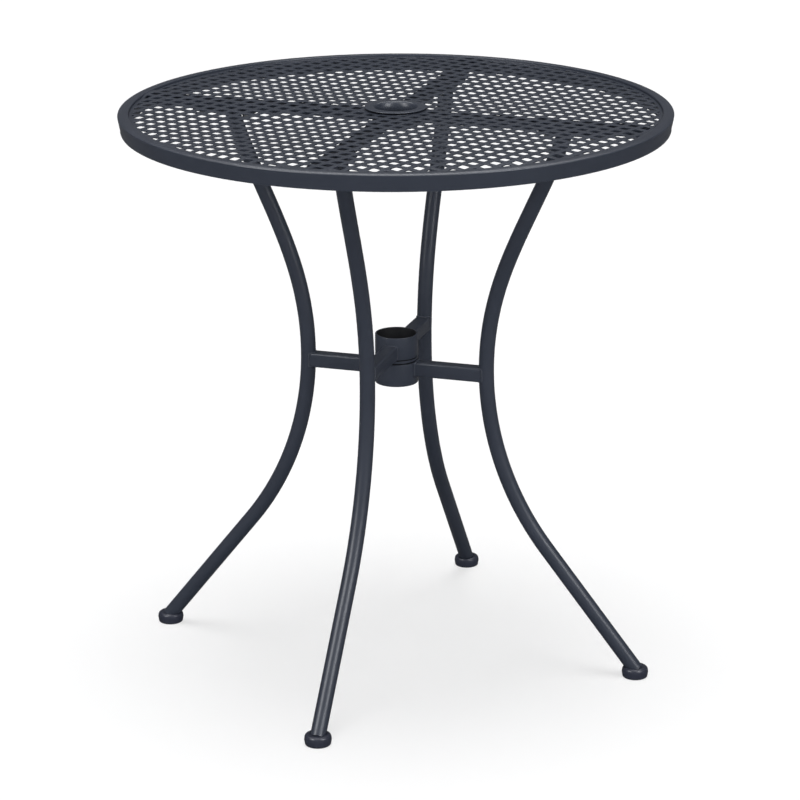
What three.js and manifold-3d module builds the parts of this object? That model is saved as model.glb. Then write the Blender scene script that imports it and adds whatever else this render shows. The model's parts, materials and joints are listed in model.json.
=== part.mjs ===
// A round patio table with a diamond-net steel top, an umbrella hole and two crossed pairs of bent legs.
// Millimetres, +Z up. The origin is on the floor, under the centre of the top.
// The front leg lies along -Y, the back leg along +Y, the left leg along -X and the right leg along +X.

import * as THREE from 'three';
import { mergeVertices } from 'three/addons/utils/BufferGeometryUtils.js';
import Module from 'manifold-3d';

const wasm = await Module();
wasm.setup();

// Whole table
const tableHeight = 745;          // floor to the top of the rim
const topDiameter = 711;          // across the rim, a 28 inch top
const fitGap = 0.3;               // clearance kept between pieces that touch
const cutOverrun = 6;             // how far a cutting shape runs past what it cuts

// Rim: a rolled steel channel, open below, whose outer wall draws in towards its lower half
const rimHeight = 22.2;
const rimWidth = 14;
const rimSheet = 1.5;
const rimShoulder = 1.3;          // radius of the outer top corner
const rimInnerCorner = 0.8;       // bevel of the inner top corner
const rimDrawIn = 3.1;            // how much narrower the lower half's radius is
const rimDrawInHeight = 14;       // top of the rim to where the outer wall stands upright

// Net panel: a sheet with square openings in rows, a net twice as coarse as the real one
const netDrop = 0.4;              // top of the net below the top of the rim
const netSheet = 1.5;
const netPitch = 37.6;            // opening to opening
const netStrand = 14.8;           // width of the steel between two openings
const netTurn = -20.8;            // degrees from +X to the rows
const netShiftAlong = 14.2;       // an opening's place along the rows, from the table's axis
const netShiftAcross = 10.9;      // an opening's place across the rows
const netBorder = 4.5;            // solid edge inside the rim
const netHubEdge = 1;             // solid edge around the umbrella flange
const netSmallestShare = 0.3;     // openings cut down to less than this share of their area are left out

// Umbrella hole
const poleBore = 50.8;            // 2 inch hole for the umbrella pole
const flangeDiameter = 80;
const flangeEdge = 1.2;           // height of the flange's outer edge
const flangeRise = 2.1;           // how much higher its inner lip stands
const flangeBevel = 0.5;
const lipWidth = 2.4;
const neckWall = 1.2;
const neckDepth = 8;              // how far the neck reaches into the sleeve
const sleeveWall = 1.7;
const sleeveLength = 22;

// Arms under the net: rectangular tube
const armWidth = 19;
const armHeight = 13;
const armWall = 1.5;
const armCorner = 1.5;

// Leg plates and their fixings, M6
const plateLength = 84;
const plateWidth = 26;
const plateThickness = 3;
const plateCorner = 4;
const plateShift = 9.4;           // its middle lies this far outside the leg's top
const boltSpacing = 60;           // inner bolt to outer bolt
const boltDiameter = 6;
const boltHeadAcross = 10;
const boltHeadHeight = 4;
const boltEnd = 0.7;              // thread that stands past the nut
const washerDiameter = 13;
const washerThickness = 1.6;
const nutAcross = 10;
const nutHeight = 5;

// Legs: round tube, straight at the foot, bent round the waist and bent gently upright again at the top
const legDiameter = 20;
const legWall = 1.5;
const waistRadius = 122.7;        // from the table's axis to the leg's centre line
const waistDrop = 4.8;            // how far the waist lies below the gap between the collars
const waistBend = 388.5;          // bend radius at the waist
const footSlant = 38.4;           // degrees from upright, at the foot
const waistTurn = 15.3;           // degrees of bend above the waist before the bend the other way
const crownRadius = 223.6;        // from the table's axis to the leg's centre line at its top
const crownSlant = 18.2;          // degrees from upright, at the top
const crownHandleShare = 1 / 3;   // of the top stretch's length: what steadies its bend at either end

// Collars and stretchers
const collarWall = 2.9;
const collarHeight = 29.7;
const hubHeight = 412;            // floor to the middle of the gap between the collars
const collarGap = 6.6;            // between the two collars
const spacerWall = 2;
const barSize = 19;               // square tube
const barWall = 1.5;
const barCorner = 1.8;

// Foot caps
const footWall = 7.5;             // from the leg's tube to the cap's widest edge
const footTaper = 1.5;            // how much narrower its radius is at the shoulder
const footHeight = 14;
const footShoulder = 3;
const footChamfer = 1.6;
const footFloor = 3;              // thickness left under the leg's end
const footInset = 1;              // the cap's centre lies this far inside the leg's end

// How finely round shapes are cut
const rimSides = 60;
const hubSides = 32;
const footSides = 16;
const boltSides = 10;
const legSides = 14;
const legBoreSides = 8;
const legSteps = 18;
const cornerSteps = 3;

// Heights and radii that follow from the sizes above
const topRadius = topDiameter / 2;
const rimInnerRadius = topRadius - rimWidth;
const rimBottom = tableHeight - rimHeight;
const netTop = tableHeight - netDrop;
const netBottom = netTop - netSheet;
const boreRadius = poleBore / 2;
const neckRadius = boreRadius + neckWall;
const sleeveBoreRadius = neckRadius + fitGap;
const sleeveRadius = sleeveBoreRadius + sleeveWall;
const armTop = netBottom - fitGap;
const armBottom = armTop - armHeight;
const plateTop = armBottom - fitGap;
const plateBottom = plateTop - plateThickness;
const legTop = plateBottom - fitGap;
const washerTop = plateBottom - fitGap;
const headTop = washerTop - washerThickness - fitGap;
const nutBottom = armBottom + armWall + fitGap;
const holeRadius = boltDiameter / 2 + fitGap;
const legRadius = legDiameter / 2;
const collarRadius = boreRadius + collarWall;
const lowerCollarTop = hubHeight - collarGap / 2;
const upperCollarBottom = hubHeight + collarGap / 2;
const waistHeight = hubHeight - waistDrop;
const footRadius = legRadius + footWall;

const radians = THREE.MathUtils.degToRad;

// Shapes and solids

function solidOf(geometry) {
  for (const name of Object.keys(geometry.attributes)) {
    if (name !== 'position') geometry.deleteAttribute(name);
  }
  const merged = mergeVertices(geometry);
  const corners = merged.index.array;
  const triVerts = [];
  for (let i = 0; i < corners.length; i += 3) {
    const [a, b, c] = corners.slice(i, i + 3);
    if (a !== b && b !== c && c !== a) triVerts.push(a, b, c);
  }
  return new wasm.Manifold(new wasm.Mesh({
    numProp: 3,
    vertProperties: new Float32Array(merged.attributes.position.array),
    triVerts: new Uint32Array(triVerts),
  }));
}

function geometryOf(solid) {
  const mesh = solid.getMesh();
  const geometry = new THREE.BufferGeometry();
  geometry.setAttribute('position', new THREE.BufferAttribute(mesh.vertProperties, 3));
  geometry.setIndex(new THREE.BufferAttribute(mesh.triVerts, 1));
  return geometry;
}

// Points of an arc, by degrees from the first axis towards the second.
function arcPoints(centreX, centreY, radius, from, to) {
  return Array.from({ length: cornerSteps + 1 }, (unused, i) => {
    const angle = radians(from + (to - from) * i / cornerSteps);
    return [centreX + radius * Math.cos(angle), centreY + radius * Math.sin(angle)];
  });
}

function circlePoints(radius, sides) {
  return Array.from({ length: sides }, (unused, i) => {
    const angle = 2 * Math.PI * i / sides;
    return [radius * Math.cos(angle), radius * Math.sin(angle)];
  });
}

// A rectangle about the origin, with bevelled corners.
function rectanglePoints(width, height, corner) {
  const x = width / 2;
  const y = height / 2;
  return [
    [x - corner, -y], [x, -y + corner], [x, y - corner], [x - corner, y],
    [-x + corner, y], [-x, y - corner], [-x, -y + corner], [-x + corner, -y],
  ];
}

function shapeOf(outline, holes = []) {
  const vectors = (points) => points.map(([x, y]) => new THREE.Vector2(x, y));
  const shape = new THREE.Shape(vectors(outline));
  shape.holes = holes.map((points) => new THREE.Path(vectors(points)));
  return shape;
}

// A solid of revolution round Z from [radius, height] points, listed with its outer side going up.
function turned(points, sides) {
  const profile = [...points, points[0]].map(([radius, height]) => new THREE.Vector2(radius, height));
  return solidOf(new THREE.LatheGeometry(profile, sides).rotateX(Math.PI / 2));
}

function ring(inner, outer, bottom, top, sides) {
  return turned([[inner, bottom], [outer, bottom], [outer, top], [inner, top]], sides);
}

function pin(radius, bottom, top, sides) {
  return solidOf(new THREE.CylinderGeometry(radius, radius, top - bottom, sides)
    .rotateX(Math.PI / 2)
    .translate(0, 0, (bottom + top) / 2));
}

// An upright hexagonal bar, given by its size across the flats.
function hexBar(across, bottom, top) {
  const hexSides = 6;
  return pin(across / 2 / Math.cos(Math.PI / hexSides), bottom, top, hexSides);
}

// A rectangular tube that runs along +X from the table's axis, its section centred at the given height.
function boxTube(width, height, wall, corner, length, middle) {
  const bore = rectanglePoints(height - 2 * wall, width - 2 * wall, corner / 2);
  const section = shapeOf(rectanglePoints(height, width, corner), [bore]);
  return solidOf(new THREE.ExtrudeGeometry(section, { depth: length, bevelEnabled: false })
    .rotateY(Math.PI / 2)
    .translate(0, 0, middle));
}

function largestBody(solid) {
  return solid.decompose().sort((a, b) => b.volume() - a.volume())[0];
}

// The leg's centre line in the XZ plane: straight from inside the foot cap, round the waist, and up to the arm.
class LegLine extends THREE.Curve {
  constructor() {
    super();
    const slant = radians(footSlant);
    const turn = radians(waistTurn);
    const lean = radians(crownSlant);
    const centre = new THREE.Vector2(waistRadius + waistBend, waistHeight);
    const low = new THREE.Vector2(-Math.cos(slant), -Math.sin(slant)).multiplyScalar(waistBend).add(centre);
    const high = new THREE.Vector2(-Math.cos(turn), Math.sin(turn)).multiplyScalar(waistBend).add(centre);
    const endHeight = footFloor + (legRadius + fitGap) * Math.sin(slant) + fitGap * Math.cos(slant);
    this.end = new THREE.Vector2(low.x + (low.y - endHeight) * Math.tan(slant), endHeight);
    const top = new THREE.Vector2(crownRadius, legTop);
    const handle = top.distanceTo(high) * crownHandleShare;
    this.path = new THREE.Path()
      .moveTo(this.end.x, this.end.y)
      .lineTo(low.x, low.y)
      .absarc(centre.x, centre.y, waistBend, Math.PI + slant, Math.PI - turn, true)
      .bezierCurveTo(
        high.x + handle * Math.sin(turn), high.y + handle * Math.cos(turn),
        top.x - handle * Math.sin(lean), top.y - handle * Math.cos(lean), top.x, top.y,
      )
      .lineTo(top.x + legDiameter * Math.sin(lean), top.y + legDiameter * Math.cos(lean));
  }

  getPoint(t, target = new THREE.Vector3()) {
    const place = this.path.getPoint(t);
    return target.set(place.x, 0, place.y);
  }
}

const legLine = new LegLine();
const footCentre = legLine.end.x - footInset;
const plateCentre = crownRadius + plateShift;
const boltPlaces = { inner: plateCentre - boltSpacing / 2, outer: plateCentre + boltSpacing / 2 };

// A round bar along the leg's centre line, hollow where a bore is given.
function legRod(radius, bore) {
  const section = shapeOf(circlePoints(radius, legSides), bore ? [circlePoints(bore, legBoreSides)] : []);
  return solidOf(new THREE.ExtrudeGeometry(section, {
    steps: legSteps, extrudePath: legLine, bevelEnabled: false,
  }));
}

// Top

function rimRing() {
  const skirt = topRadius - rimDrawIn;
  const skirtTop = tableHeight - rimDrawInHeight;
  return turned([
    [skirt - rimSheet, rimBottom], [skirt, rimBottom], [skirt, skirtTop],
    ...arcPoints(topRadius - rimShoulder, tableHeight - rimShoulder, rimShoulder, 0, 90),
    [rimInnerRadius + rimInnerCorner, tableHeight], [rimInnerRadius, tableHeight - rimInnerCorner],
    [rimInnerRadius, rimBottom], [rimInnerRadius + rimSheet, rimBottom],
    [rimInnerRadius + rimSheet, tableHeight - rimSheet], [topRadius - rimSheet, tableHeight - rimSheet],
    [skirt - rimSheet, skirtTop],
  ], rimSides);
}

// The openings as upright bars, cut off at the solid edges by the rim and by the flange.
function netOpenings() {
  const side = netPitch - netStrand;
  const reach = Math.ceil(topRadius / netPitch) + 1;
  const outlines = [];
  for (let column = -reach; column <= reach; column++) {
    for (let row = -reach; row <= reach; row++) {
      const x = netShiftAlong + column * netPitch;
      const y = netShiftAcross + row * netPitch;
      outlines.push(shapeOf(rectanglePoints(side, side, 0).map(([a, b]) => [x + a, y + b])));
    }
  }
  const height = netSheet + 2 * cutOverrun;
  const bars = solidOf(new THREE.ExtrudeGeometry(outlines, { depth: height, bevelEnabled: false })
    .rotateZ(radians(netTurn))
    .translate(0, 0, netBottom - cutOverrun));
  const field = ring(flangeDiameter / 2 + netHubEdge, rimInnerRadius - netBorder,
    netBottom - cutOverrun, netTop + cutOverrun, rimSides);
  const smallest = netSmallestShare * side * side * height;
  return wasm.Manifold.compose(bars.intersect(field).decompose().filter((bar) => bar.volume() > smallest));
}

function meshPanel() {
  return ring(sleeveRadius + fitGap, rimInnerRadius - fitGap, netBottom, netTop, rimSides)
    .subtract(netOpenings());
}

function umbrellaFlange() {
  const crest = netTop + flangeEdge + flangeRise;
  const lip = boreRadius + lipWidth;
  const edge = flangeDiameter / 2;
  return turned([
    [boreRadius, netTop - neckDepth], [neckRadius, netTop - neckDepth], [neckRadius, netTop + fitGap],
    [edge, netTop + fitGap], [edge, netTop + flangeEdge - flangeBevel],
    [edge - flangeBevel, netTop + flangeEdge], [lip, crest],
    ...arcPoints(lip, crest - lipWidth, lipWidth, 90, 180),
  ], hubSides);
}

function umbrellaSleeve() {
  return ring(sleeveBoreRadius, sleeveRadius, netTop - sleeveLength, netTop, hubSides);
}

function topArm() {
  const tube = boxTube(armWidth, armHeight, armWall, armCorner, topRadius, (armTop + armBottom) / 2);
  const space = ring(sleeveRadius + fitGap, rimInnerRadius - fitGap,
    armBottom - cutOverrun, armTop + cutOverrun, rimSides);
  return Object.values(boltPlaces).reduce((arm, place) => (
    arm.subtract(pin(holeRadius, armBottom - cutOverrun, nutBottom, boltSides).translate(place, 0, 0))
  ), tube.intersect(space));
}

// Fixings

function legPlate() {
  const outline = rectanglePoints(plateLength, plateWidth, plateCorner);
  const holes = [-boltSpacing / 2, boltSpacing / 2].map((place) => (
    circlePoints(holeRadius, boltSides).map(([x, y]) => [x + place, y])
  ));
  const blank = shapeOf(outline, holes);
  return solidOf(new THREE.ExtrudeGeometry(blank, { depth: plateThickness, bevelEnabled: false })
    .translate(plateCentre, 0, plateBottom));
}

function bolt() {
  const head = hexBar(boltHeadAcross, headTop - boltHeadHeight, headTop);
  const end = nutBottom + nutHeight + boltEnd;
  return head.add(pin(boltDiameter / 2, headTop - boltHeadHeight / 2, end, boltSides));
}

function washer() {
  return ring(holeRadius, washerDiameter / 2, washerTop - washerThickness, washerTop, boltSides);
}

function nut() {
  return hexBar(nutAcross, nutBottom, nutBottom + nutHeight)
    .subtract(pin(holeRadius, nutBottom - cutOverrun, nutBottom + nutHeight + cutOverrun, boltSides));
}

// Legs and hub

function leg() {
  const above = solidOf(new THREE.BoxGeometry(topDiameter, topDiameter, topDiameter)
    .translate(0, 0, legTop + topDiameter / 2));
  return legRod(legRadius, legRadius - legWall).subtract(above);
}

function stretcher(bottom) {
  const top = bottom + barSize;
  return largestBody(boxTube(barSize, barSize, barWall, barCorner, waistRadius, (bottom + top) / 2)
    .subtract(pin(collarRadius + fitGap, bottom - cutOverrun, top + cutOverrun, hubSides))
    .subtract(legRod(legRadius + fitGap)));
}

function collar(bottom) {
  return ring(boreRadius, collarRadius, bottom, bottom + collarHeight, hubSides);
}

function collarSpacer() {
  const outer = boreRadius + spacerWall;
  return ring(boreRadius, outer, lowerCollarTop + fitGap, upperCollarBottom - fitGap, hubSides);
}

function footCap() {
  const shoulderRadius = footRadius - footTaper;
  const cap = turned([
    [0, 0], [footRadius - footChamfer, 0], [footRadius, footChamfer],
    ...arcPoints(shoulderRadius - footShoulder, footHeight - footShoulder, footShoulder, 0, 90),
    [0, footHeight],
  ], footSides).translate(footCentre, 0, 0);
  const socket = pin(legRadius + fitGap, -fitGap, 2 * footHeight, footSides)
    .rotate(0, -footSlant, 0)
    .translate(legLine.end.x, 0, legLine.end.y);
  return cap.subtract(socket);
}

// Materials

const powderCoat = new THREE.MeshStandardMaterial({ color: 0x343a45, roughness: 0.42, metalness: 0.35 });
const footPlastic = new THREE.MeshStandardMaterial({ color: 0x3b3f49, roughness: 0.5, metalness: 0 });
const zincSteel = new THREE.MeshStandardMaterial({ color: 0xa9adb2, roughness: 0.35, metalness: 0.9 });

// Assembly: each piece is made along +X and turned to its side of the table.

const table = new THREE.Group();

function place(name, solid, material, degrees = 0) {
  const mesh = new THREE.Mesh(geometryOf(solid), material);
  mesh.name = name;
  mesh.rotation.z = radians(degrees);
  table.add(mesh);
}

place('rim_ring', rimRing(), powderCoat);
place('mesh_panel', meshPanel(), powderCoat);
place('umbrella_flange', umbrellaFlange(), powderCoat);
place('umbrella_sleeve', umbrellaSleeve(), powderCoat);
place('upper_collar', collar(upperCollarBottom), powderCoat);
place('lower_collar', collar(lowerCollarTop - collarHeight), powderCoat);
place('collar_spacer', collarSpacer(), powderCoat);

const onUpperCollar = upperCollarBottom;
const onLowerCollar = lowerCollarTop - barSize;
const sides = [
  ['front', -90, onUpperCollar], ['right', 0, onLowerCollar],
  ['back', 90, onUpperCollar], ['left', 180, onLowerCollar],
];
for (const [side, degrees, barBottom] of sides) {
  place(`top_arm_${side}`, topArm(), powderCoat, degrees);
  place(`leg_${side}`, leg(), powderCoat, degrees);
  place(`leg_plate_${side}`, legPlate(), powderCoat, degrees);
  place(`stretcher_${side}`, stretcher(barBottom), powderCoat, degrees);
  place(`foot_${side}`, footCap(), footPlastic, degrees);
  for (const [end, radius] of Object.entries(boltPlaces)) {
    place(`bolt_${side}_${end}`, bolt().translate(radius, 0, 0), zincSteel, degrees);
    place(`washer_${side}_${end}`, washer().translate(radius, 0, 0), zincSteel, degrees);
    place(`nut_${side}_${end}`, nut().translate(radius, 0, 0), zincSteel, degrees);
  }
}

export default table;
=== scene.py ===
import json
from math import atan2, cos, degrees, hypot, pi, radians, sin, sqrt

import bmesh
import bpy
from mathutils import Matrix, Vector
from mathutils.geometry import interpolate_bezier

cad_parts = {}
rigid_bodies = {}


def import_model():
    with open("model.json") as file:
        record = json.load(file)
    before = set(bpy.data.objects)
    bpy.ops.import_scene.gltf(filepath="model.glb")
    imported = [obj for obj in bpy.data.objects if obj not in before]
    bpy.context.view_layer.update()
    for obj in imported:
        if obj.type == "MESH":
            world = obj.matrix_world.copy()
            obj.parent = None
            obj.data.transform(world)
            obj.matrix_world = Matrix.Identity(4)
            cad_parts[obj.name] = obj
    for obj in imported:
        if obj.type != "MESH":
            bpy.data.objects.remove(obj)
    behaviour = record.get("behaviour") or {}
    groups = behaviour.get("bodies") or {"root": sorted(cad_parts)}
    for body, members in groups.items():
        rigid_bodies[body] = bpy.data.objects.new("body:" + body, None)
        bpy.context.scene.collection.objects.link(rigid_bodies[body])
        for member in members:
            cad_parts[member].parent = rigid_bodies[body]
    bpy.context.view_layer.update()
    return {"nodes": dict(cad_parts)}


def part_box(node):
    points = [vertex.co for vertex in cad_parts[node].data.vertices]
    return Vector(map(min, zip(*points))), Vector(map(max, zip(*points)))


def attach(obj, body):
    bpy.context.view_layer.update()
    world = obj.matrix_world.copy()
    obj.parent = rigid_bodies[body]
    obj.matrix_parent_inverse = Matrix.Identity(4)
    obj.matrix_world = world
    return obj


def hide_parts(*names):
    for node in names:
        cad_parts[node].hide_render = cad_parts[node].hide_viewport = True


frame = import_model()

# A round patio table: a net top with a rolled rim and an umbrella hole, two pole collars and four
# bent legs. Metres, +Z up. The front leg lies along -Y, the right leg along +X.

MM = 0.001
SIDES = {"front": -90, "right": 0, "back": 90, "left": 180}
FIT_GAP = 0.3 * MM            # between neighbouring pieces
OVERRUN = 6 * MM              # how far a cutting tool reaches past what it cuts

# How finely round shapes are cut
RIM_SIDES = 240
HUB_SIDES = 96
FOOT_SIDES = 72
TUBE_SIDES = 48
SHANK_SIDES = 24
SMOOTH_ANGLE = radians(32)
SOFTEN_ANGLE = radians(40)

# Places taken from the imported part
rim_low, rim_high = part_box("rim_ring")
net_low, net_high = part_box("mesh_panel")
flange_low, flange_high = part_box("umbrella_flange")
sleeve_low, sleeve_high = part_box("umbrella_sleeve")
arm_low, arm_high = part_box("top_arm_right")
leg_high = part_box("leg_right")[1]
plate_low, plate_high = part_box("leg_plate_right")
upper_low, upper_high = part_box("upper_collar")
lower_low, lower_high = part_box("lower_collar")
spacer_low, spacer_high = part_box("collar_spacer")
foot_low, foot_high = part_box("foot_right")

TOP_RADIUS = rim_high.x
RIM_TOP = rim_high.z
RIM_WIDTH = 14 * MM
RIM_INNER_RADIUS = TOP_RADIUS - RIM_WIDTH
POLE_BORE_RADIUS = 25.4 * MM
SLEEVE_RADIUS = sleeve_high.x
COLLAR_RADIUS = upper_high.x

# The legs' centre line: straight at the foot, an arc at the waist, then a bend the other way.
# WAIST_RADIUS and CROWN_RADIUS are from the table's axis, slants are from upright.
LEG_RADIUS = 10 * MM          # of the tube
LEG_END = 9.63 * MM           # height of the line's lower end, inside the foot cap
FOOT_SLANT = radians(38.4)
WAIST_RADIUS = 122.7 * MM
WAIST_HEIGHT = 407.2 * MM
WAIST_BEND = 388.5 * MM       # the arc's own radius
WAIST_TURN = radians(15.3)    # the slant at which the waist's arc ends
WAIST_STEPS = 40
CROWN_RADIUS = 223.6 * MM
CROWN_SLANT = radians(18.2)
CROWN_HANDLE_SHARE = 1 / 3    # of the upper bend's span, for its curve's handles
CROWN_STEPS = 26
STRAIGHT_STEPS = 2
LEG_TOP = leg_high.z
WAIST_CENTRE = Vector((WAIST_RADIUS + WAIST_BEND, 0, WAIST_HEIGHT))


# Modelling helpers

def start_fresh():
    if bpy.context.object and bpy.context.object.mode != "OBJECT":
        bpy.ops.object.mode_set(mode="OBJECT")
    bpy.ops.object.select_all(action="DESELECT")


def take(piece):
    start_fresh()
    piece.select_set(True)
    bpy.context.view_layer.objects.active = piece
    return piece


def newest(name):
    piece = bpy.context.object
    piece.name = name
    piece.data.name = name
    return piece


def settle(piece):
    """Puts a piece's place, turn and size into its mesh."""
    take(piece)
    bpy.ops.object.transform_apply(location=True, rotation=True, scale=True)
    return piece


def edit(piece):
    """Opens a piece for editing, with all of it selected."""
    take(piece)
    bpy.ops.object.mode_set(mode="EDIT")
    bpy.ops.mesh.select_mode(type="VERT")
    bpy.ops.mesh.select_all(action="SELECT")


def leave():
    bpy.ops.object.mode_set(mode="OBJECT")


def choose(kind, test):
    """In edit mode, selects the vertices, edges or faces that the test accepts."""
    bpy.ops.mesh.select_mode(type=kind)
    bpy.ops.mesh.select_all(action="DESELECT")
    shape = bmesh.from_edit_mesh(bpy.context.object.data)
    for part in {"VERT": shape.verts, "EDGE": shape.edges, "FACE": shape.faces}[kind]:
        if test(part):
            part.select_set(True)
    shape.select_flush_mode()
    bmesh.update_edit_mesh(bpy.context.object.data)


def round_edges(piece, axis, least, radius, segments):
    """Rounds the edges that reach further than the least length along an axis."""
    edit(piece)
    choose("EDGE", lambda e: abs(e.verts[0].co[axis] - e.verts[1].co[axis]) > least)
    bpy.ops.mesh.bevel(offset=radius, segments=segments, affect="EDGES")
    leave()


def modify(piece, kind, **settings):
    """Adds a modifier, sets it and applies it."""
    take(piece)
    modifier = piece.modifiers.new(kind.title(), kind)
    for name, value in settings.items():
        setattr(modifier, name, value)
    bpy.ops.object.modifier_apply(modifier=modifier.name)
    return piece


def cut(piece, tool, operation="DIFFERENCE"):
    """Cuts, joins or trims a piece with a tool, which is used up."""
    modify(piece, "BOOLEAN", operation=operation, object=tool, solver="MANIFOLD")
    bpy.data.objects.remove(tool)
    return piece


def make_solid(piece):
    """Merges doubles, closes open ends and turns every face outwards."""
    edit(piece)
    bpy.ops.mesh.remove_doubles(threshold=0.001 * MM)
    bpy.ops.mesh.fill_holes(sides=0)
    bpy.ops.mesh.select_all(action="SELECT")
    bpy.ops.mesh.normals_make_consistent(inside=False)
    leave()
    return piece


def smooth(piece):
    take(piece)
    bpy.ops.object.shade_smooth_by_angle(angle=SMOOTH_ANGLE)
    return piece


def soften(piece, width, segments=2):
    """Rounds every sharp edge."""
    return modify(piece, "BEVEL", width=width, segments=segments, limit_method="ANGLE",
                  angle_limit=SOFTEN_ANGLE, use_clamp_overlap=False)


def turned(name, profile, sides):
    """A piece turned about the table's axis, from the [radius, height] points of its section."""
    start_fresh()
    (radius, height), *rest = profile
    bpy.ops.mesh.primitive_circle_add(vertices=sides, radius=radius, location=(0, 0, height))
    piece = settle(newest(name))
    edit(piece)
    for next_radius, next_height in rest:
        bpy.ops.mesh.extrude_region_move()
        share = next_radius / radius
        bpy.ops.transform.resize(value=(share, share, 1), center_override=(0, 0, height))
        bpy.ops.transform.translate(value=(0, 0, next_height - height))
        radius, height = next_radius, next_height
    leave()
    return make_solid(piece)


def turned_ring(name, profile, sides):
    """The same for a section that closes on itself."""
    return turned(name, [*profile, profile[0]], sides)


def rounded(centre_radius, centre_height, radius, start, end, steps):
    """Points of a rounded corner in a turned section, by degrees from outwards towards up."""
    angles = [radians(start + (end - start) * i / steps) for i in range(steps + 1)]
    return [(centre_radius + radius * cos(a), centre_height + radius * sin(a)) for a in angles]


def cylinder(name, radius, low, high, sides):
    start_fresh()
    bpy.ops.mesh.primitive_cylinder_add(vertices=sides, radius=radius, depth=high - low,
                                        location=(0, 0, (low + high) / 2))
    return settle(newest(name))


def block(name, low, high):
    start_fresh()
    low, high = Vector(low), Vector(high)
    bpy.ops.mesh.primitive_cube_add(size=1, location=(low + high) / 2)
    bpy.context.object.scale = high - low
    return settle(newest(name))


def ring(name, inner, outer, low, high, sides):
    return turned_ring(name, [(inner, low), (outer, low), (outer, high), (inner, high)], sides)


def copy_of(piece, name):
    twin = piece.copy()
    twin.data = piece.data.copy()
    twin.name = name
    twin.data.name = name
    bpy.context.scene.collection.objects.link(twin)
    return twin


def moved(piece, matrix):
    take(piece)
    piece.matrix_world = matrix
    return settle(piece)


def joined(name, pieces):
    start_fresh()
    for piece in pieces:
        piece.select_set(True)
    bpy.context.view_layer.objects.active = pieces[0]
    bpy.ops.object.join()
    return newest(name)


def hand_in(piece, finish, slot, *nodes):
    """Gives a finished piece its material and ties it to the frame."""
    piece.data.materials.clear()
    piece.data.materials.append(finish)
    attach(piece, "root")
    if nodes:
        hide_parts(*nodes)
    return piece


def on_each_side(piece, name, finish, slot, node, sides=tuple(SIDES)):
    """Copies a piece made along +X to sides of the table. The node's name has {} for the side."""
    for side in sides:
        turn = Matrix.Rotation(radians(SIDES[side]), 4, "Z")
        hand_in(moved(copy_of(piece, f"{name}_{side}"), turn), finish, slot, node.format(side))
    bpy.data.objects.remove(piece)


# Materials

class Wire:
    """A socket of a node tree. Sums on it add Math nodes."""

    def __init__(self, tree, socket):
        self.tree = tree
        self.socket = socket

    def math(self, operation, *others, flip=False):
        values = [self, *others]
        if flip:
            values.reverse()
        return self.tree.node("ShaderNodeMath", *values, operation=operation)

    def __add__(self, other):
        return self.math("ADD", other)

    def __sub__(self, other):
        return self.math("SUBTRACT", other)

    def __rsub__(self, other):
        return self.math("SUBTRACT", other, flip=True)

    def __mul__(self, other):
        return self.math("MULTIPLY", other)

    def __truediv__(self, other):
        return self.math("DIVIDE", other)

    def __rtruediv__(self, other):
        return self.math("DIVIDE", other, flip=True)

    def between(self, low, high):
        """0 below low, 1 above high, even in between."""
        return ((self - low) / (high - low)).math("MAXIMUM", 0).math("MINIMUM", 1)

    __radd__ = __add__
    __rmul__ = __mul__


class Tree:
    """A node tree whose nodes all come from one method."""

    def __init__(self, node_tree):
        self.tree = node_tree
        self.tree.nodes.clear()

    def node(self, kind, *values, output=0, stops=None, **settings):
        made = self.tree.nodes.new(kind)
        for name, value in settings.items():
            setattr(made, name, value)
        if stops:
            self.set_stops(made.color_ramp, stops)
        for index, value in enumerate(values):
            self.feed(made.inputs[index], value)
        return Wire(self, made.outputs[output])

    def set_stops(self, colours, stops):
        while len(colours.elements) > 1:
            colours.elements.remove(colours.elements[-1])
        (place, colour), *rest = stops
        colours.elements[0].position = place
        colours.elements[0].color = (*colour, 1)
        for place, colour in rest:
            colours.elements.new(place).color = (*colour, 1)

    def feed(self, socket, value):
        if isinstance(value, Wire):
            self.tree.links.new(value.socket, socket)
        elif value is not None:
            socket.default_value = value

    def place(self):
        return self.node("ShaderNodeTexCoord", output=3)

    def part_of(self, place, axis):
        """The place along an axis: 0, 1 or 2."""
        return self.node("ShaderNodeSeparateXYZ", place, output=axis)

    def noise(self, scale, detail, roughness=0.5):
        return self.node("ShaderNodeTexNoise", self.place(), None, scale, detail, roughness)

    def mix(self, factor, first, second):
        unused = [None] * 5
        return self.node("ShaderNodeMix", factor, *unused, first, second,
                         output=2, data_type="RGBA")

    def bump(self, height, distance, strength):
        return self.node("ShaderNodeBump", strength, distance, 1.0, height)


def surface(name, build):
    """A material made of one Principled shader. build(tree) gives its sockets' values by name."""
    material = bpy.data.materials.new(name)
    material.use_nodes = True
    tree = Tree(material.node_tree)
    shader = material.node_tree.nodes.new("ShaderNodeBsdfPrincipled")
    for socket, value in build(tree).items():
        tree.feed(shader.inputs[socket], value)
    end = material.node_tree.nodes.new("ShaderNodeOutputMaterial")
    material.node_tree.links.new(shader.outputs[0], end.inputs["Surface"])
    return material


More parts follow.
